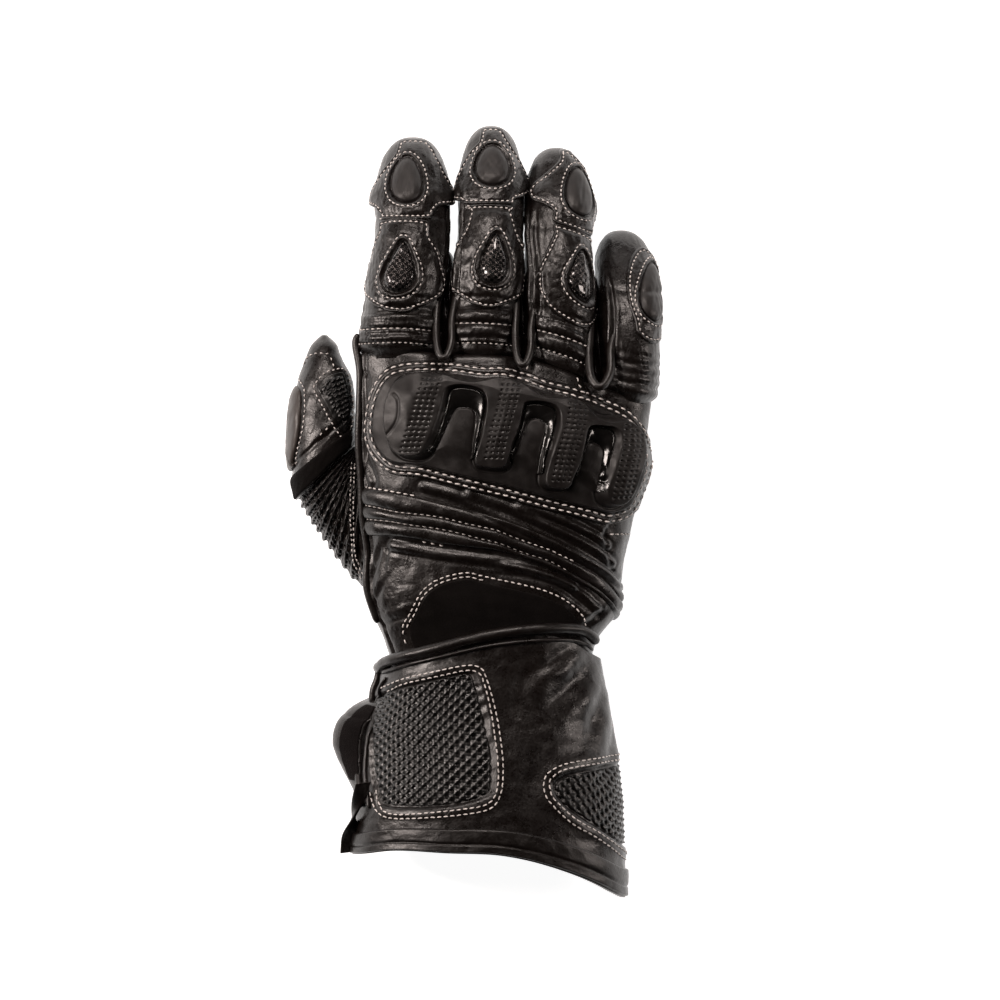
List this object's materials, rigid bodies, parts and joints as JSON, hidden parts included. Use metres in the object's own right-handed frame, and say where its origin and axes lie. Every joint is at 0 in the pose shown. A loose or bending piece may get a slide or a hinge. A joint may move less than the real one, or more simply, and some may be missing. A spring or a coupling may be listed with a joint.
{
  "type": "motorcycle gauntlet",
  "caption": "Right-hand leather motorcycle gauntlet with a slotted knuckle guard, finger pads and sliders, ribbed back and a flared cuff.",
  "frame": {"origin": "bottom centre of the glove's box, on the ground that it lies on", "axes": "+Y from cuff to fingertips, +X from the thumb to the little finger, +Z out of the back of the hand"},
  "size_m": [0.154, 0.3074, 0.0665],
  "materials": {
    "black_leather": "satin",
    "pad_rubber": "matte",
    "carbon_slider": "gloss",
    "guard_plastic": "satin",
    "suede": "matte",
    "grip_mesh": "matte",
    "loop_pile": "matte"
  },
  "bodies": {
    "root": {"hand_shell": "black_leather", "index_stall": "black_leather", "middle_stall": "black_leather", "ring_stall": "black_leather", "little_stall": "black_leather", "thumb_stall": "black_leather", "thumb_gusset": "black_leather", "index_tip_panel": "black_leather", "index_back_panel": "black_leather", "index_flex_ribs": "black_leather", "middle_tip_panel": "black_leather", "middle_back_panel": "black_leather", "middle_flex_ribs": "black_leather", "ring_tip_panel": "black_leather", "ring_back_panel": "black_leather", "little_side_panel": "black_leather", "guard_surround": "black_leather", "back_ribs": "black_leather", "side_welt": "black_leather", "cuff": "black_leather", "cuff_piping": "black_leather", "wrap_piping": "black_leather", "cuff_hem": "black_leather", "closing_flap": "black_leather", "pull_tab": "black_leather", "index_tip_pad": "pad_rubber", "middle_tip_pad": "pad_rubber", "ring_tip_pad": "pad_rubber", "little_side_pad": "pad_rubber", "thumb_slider": "pad_rubber", "index_carbon_slider": "carbon_slider", "middle_carbon_slider": "carbon_slider", "ring_carbon_slider": "carbon_slider", "knuckle_guard": "guard_plastic", "wrist_patch": "suede", "thumb_mesh_patch": "grip_mesh", "left_cuff_patch": "grip_mesh", "right_cuff_patch": "grip_mesh", "loop_strip": "loop_pile"}
  },
  "joints": []
}
